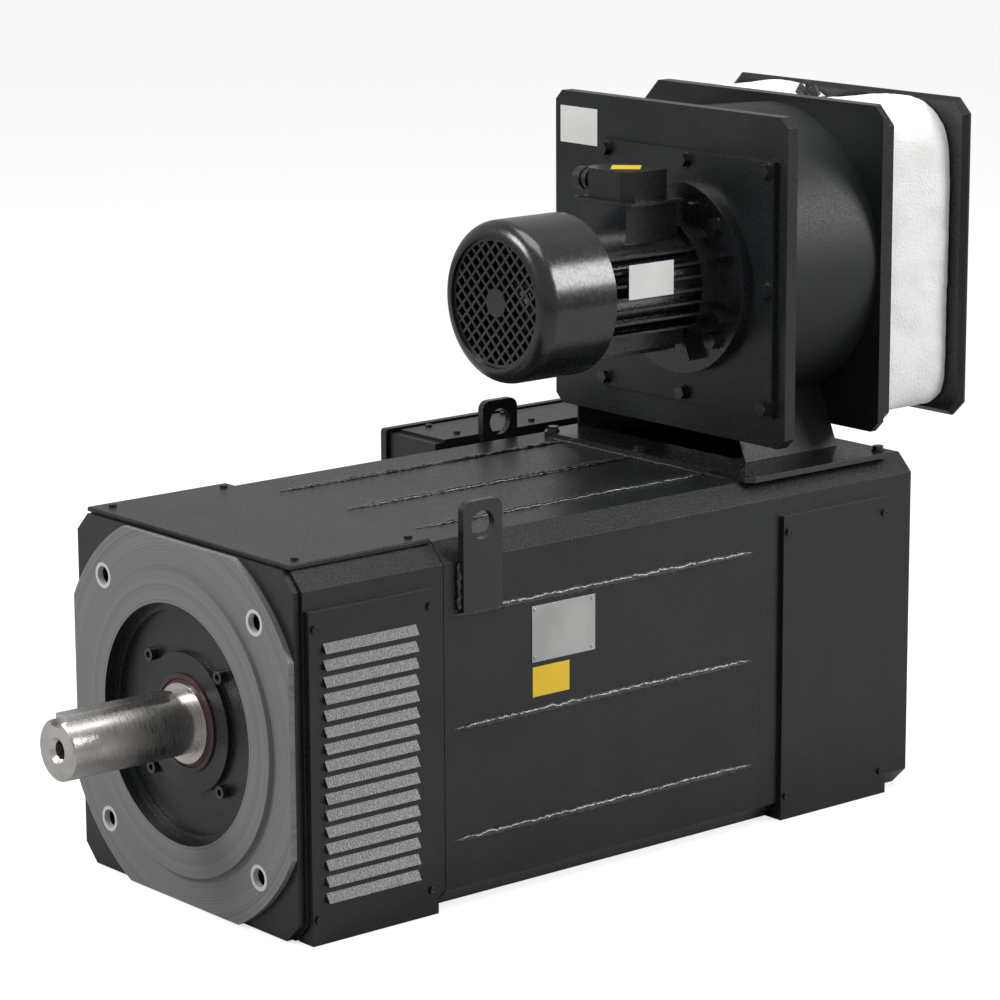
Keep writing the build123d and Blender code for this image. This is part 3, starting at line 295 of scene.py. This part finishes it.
frame_low, frame_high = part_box("stator_frame")
half = frame_high.x
y_a, y_b = frame_low.y + 0.010, frame_high.y - 0.010
for number, z in enumerate((0.110, -0.003, -0.114)):
    for tag, s in (("right", 1), ("left", -1)):
        if s < 0 and z > 0.05:
            continue
        weld_bead("side_weld_%s_%d" % (tag, number), (s * half, y_a, z), (s * half, y_b, z),
                  (s, 0, 0), 0.0034, 0.0026, number + 10 * s)
for number, x in enumerate((-0.109, 0.0, 0.109)):
    weld_bead("top_weld_%d" % number, (x, y_a + 0.012, half), (x, y_b, half),
              (0, 0, 1), 0.0036, 0.0026, 40 + number)
eye_low, eye_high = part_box("lifting_eyes")
for tag, y, x, s in (("a", 0.199, half, 1), ("b", 0.247, half, 1), ("c", 0.529, -half, -1),
                     ("d", 0.577, -half, -1)):
    weld_bead("eye_weld_" + tag, (x + s * 0.001, y, eye_low.z + 0.002), (x + s * 0.001, y, 0.160),
              (s, 0, 0), 0.0035, 0.0040, ord(tag))
base_low, base_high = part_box("blower_base")
weld_bead("base_weld_front", (base_low.x + 0.012, base_low.y - 0.001, half),
          (base_high.x - 0.02, base_low.y - 0.001, half), (0, 0, 1), 0.0022, 0.0016, 77)

# the filter fleece: a soft band wrapped round the cage, dipping under the clamp bar
low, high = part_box("filter_fleece")
Y_MID, Y_HALF = (low.y + high.y) / 2, (high.y - low.y) / 2
MID_Z = (low.z + high.z) / 2
AROUND, ACROSS = 220, 18


def fleece_outline(u):
    """Rounded square with soft shoulders; u from 0 to 1, starting at the top centre."""
    a = 2 * math.pi * u
    c, s = math.sin(a), math.cos(a)
    power = 9.0
    r = (abs(c) ** power + abs(s) ** power) ** (-1 / power)
    x, z = c * r * (high.x - 0.002), s * r * (high.z - MID_Z - 0.002)
    if z > 0:
        hump = math.exp(-((abs(x) - 0.088) / 0.055) ** 2)
        dip = math.exp(-(x / 0.024) ** 2)
        corner = max(0.0, abs(x) - 0.12) / 0.04
        lift = z / (high.z - MID_Z)
        z += lift * (0.009 * hump - 0.014 * dip - 0.006 * corner)
    return x, z


verts, faces = [], []
rows = []
for j in range(ACROSS + 1):
    t = j / ACROSS
    y = Y_MID + Y_HALF * math.cos(math.pi * (1 - t)) * 0.995
    bulge = math.sin(math.pi * t) ** 0.5
    row = []
    for i in range(AROUND):
        x, z = fleece_outline(i / AROUND)
        shrink = 1 - 0.02 * (1 - bulge)
        p = Vector((x * shrink, y, MID_Z + z * shrink))
        wave = noise.noise(p * 22) * 0.0024 + noise.noise(p * 90) * 0.0010
        out = Vector((x, 0, z)).normalized()
        p += out * wave
        row.append(len(verts))
        verts.append(p)
    rows.append(row)
inner = []
for y in (Y_MID + Y_HALF * 0.995, Y_MID - Y_HALF * 0.995):
    row = []
    for i in range(AROUND):
        x, z = fleece_outline(i / AROUND)
        row.append(len(verts))
        verts.append(Vector((x * 0.915, y, MID_Z + z * 0.915)))
    inner.append(row)
rows += inner
count = len(rows)
for j in range(count):
    a, b = rows[j], rows[(j + 1) % count]
    for i in range(AROUND):
        k = (i + 1) % AROUND
        faces.append((a[i], a[k], b[k], b[i]))
fleece = add_piece("fleece_band", verts, faces, FLEECE)
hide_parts("filter_fleece")

# ---------------------------------------------------------------- stage, light, camera


def floor_material(name, colour, seen):
    """Matt floor that keeps the shadow and shows pale to the camera."""
    mat, nodes, links, shader = new_material(name)
    shader.inputs["Base Color"].default_value = (*colour, 1)
    shader.inputs["Roughness"].default_value = 1.0
    shader.inputs["Specular IOR Level"].default_value = 0.0
    shader.inputs["Emission Color"].default_value = (1, 1, 1, 1)
    rays = nodes.new("ShaderNodeLightPath")
    glow = nodes.new("ShaderNodeMath")
    glow.operation = "MULTIPLY"
    glow.inputs[1].default_value = seen
    links.new(rays.outputs["Is Camera Ray"], glow.inputs[0])
    links.new(glow.outputs["Value"], shader.inputs["Emission Strength"])
    return mat


bpy.ops.mesh.primitive_plane_add(size=60, location=(0, 0, CAD_BOX[0][2] - 0.0005))
floor = bpy.context.object
floor.name = "floor"
floor.data.materials.append(floor_material("pale_floor", (0.42, 0.42, 0.42), 0.74))

world = bpy.data.worlds.new("studio")
bpy.context.scene.world = world
world.use_nodes = True
wn, wl = world.node_tree.nodes, world.node_tree.links
back = wn["Background"]
path = wn.new("ShaderNodeLightPath")
level = wn.new("ShaderNodeMapRange")
level.inputs["To Min"].default_value = 0.42
level.inputs["To Max"].default_value = 1.0
wl.new(path.outputs["Is Camera Ray"], level.inputs["Value"])
wl.new(level.outputs["Result"], back.inputs["Strength"])
back.inputs["Color"].default_value = (1, 1, 1, 1)


def lamp(name, place, target, size, power):
    data = bpy.data.lights.new(name, "AREA")
    data.shape = "RECTANGLE"
    data.size, data.size_y = size
    data.energy = power
    obj = bpy.data.objects.new(name, data)
    bpy.context.scene.collection.objects.link(obj)
    obj.location = place
    obj.rotation_euler = (Vector(target) - Vector(place)).to_track_quat("-Z", "Y").to_euler()


lamp("key", (-1.4, -2.8, 2.8), (0, 0.2, 0.1), (1.6, 1.6), 110)
lamp("fill", (2.6, 2.9, 2.0), (0.1, 0.3, 0.1), (1.6, 1.6), 85)
lamp("top", (0.2, 0.6, 3.4), (0.0, 0.4, 0.1), (2.0, 2.4), 60)

VIEW_AZ, VIEW_EL, VIEW_ROLL = map(math.radians, (50.06, 12.56, -0.26))
CAMERA_PLACE = (2.90215, -2.02842, 1.00416)
LENS = 137.63
back_dir = Vector((math.sin(VIEW_AZ) * math.cos(VIEW_EL),
                   -math.cos(VIEW_AZ) * math.cos(VIEW_EL), math.sin(VIEW_EL)))
right = Vector((math.cos(VIEW_AZ), math.sin(VIEW_AZ), 0))
up = back_dir.cross(right)
x_cam = right * math.cos(VIEW_ROLL) + up * math.sin(VIEW_ROLL)
y_cam = up * math.cos(VIEW_ROLL) - right * math.sin(VIEW_ROLL)
cam_data = bpy.data.cameras.new("camera")
cam_data.lens = LENS
cam_data.sensor_width = 36
cam_data.clip_end = 100
camera = bpy.data.objects.new("camera", cam_data)
bpy.context.scene.collection.objects.link(camera)
turn = Matrix((x_cam, y_cam, back_dir)).transposed().to_4x4()
camera.matrix_world = Matrix.Translation(CAMERA_PLACE) @ turn
bpy.context.scene.camera = camera
bpy.context.scene.view_settings.view_transform = "Standard"
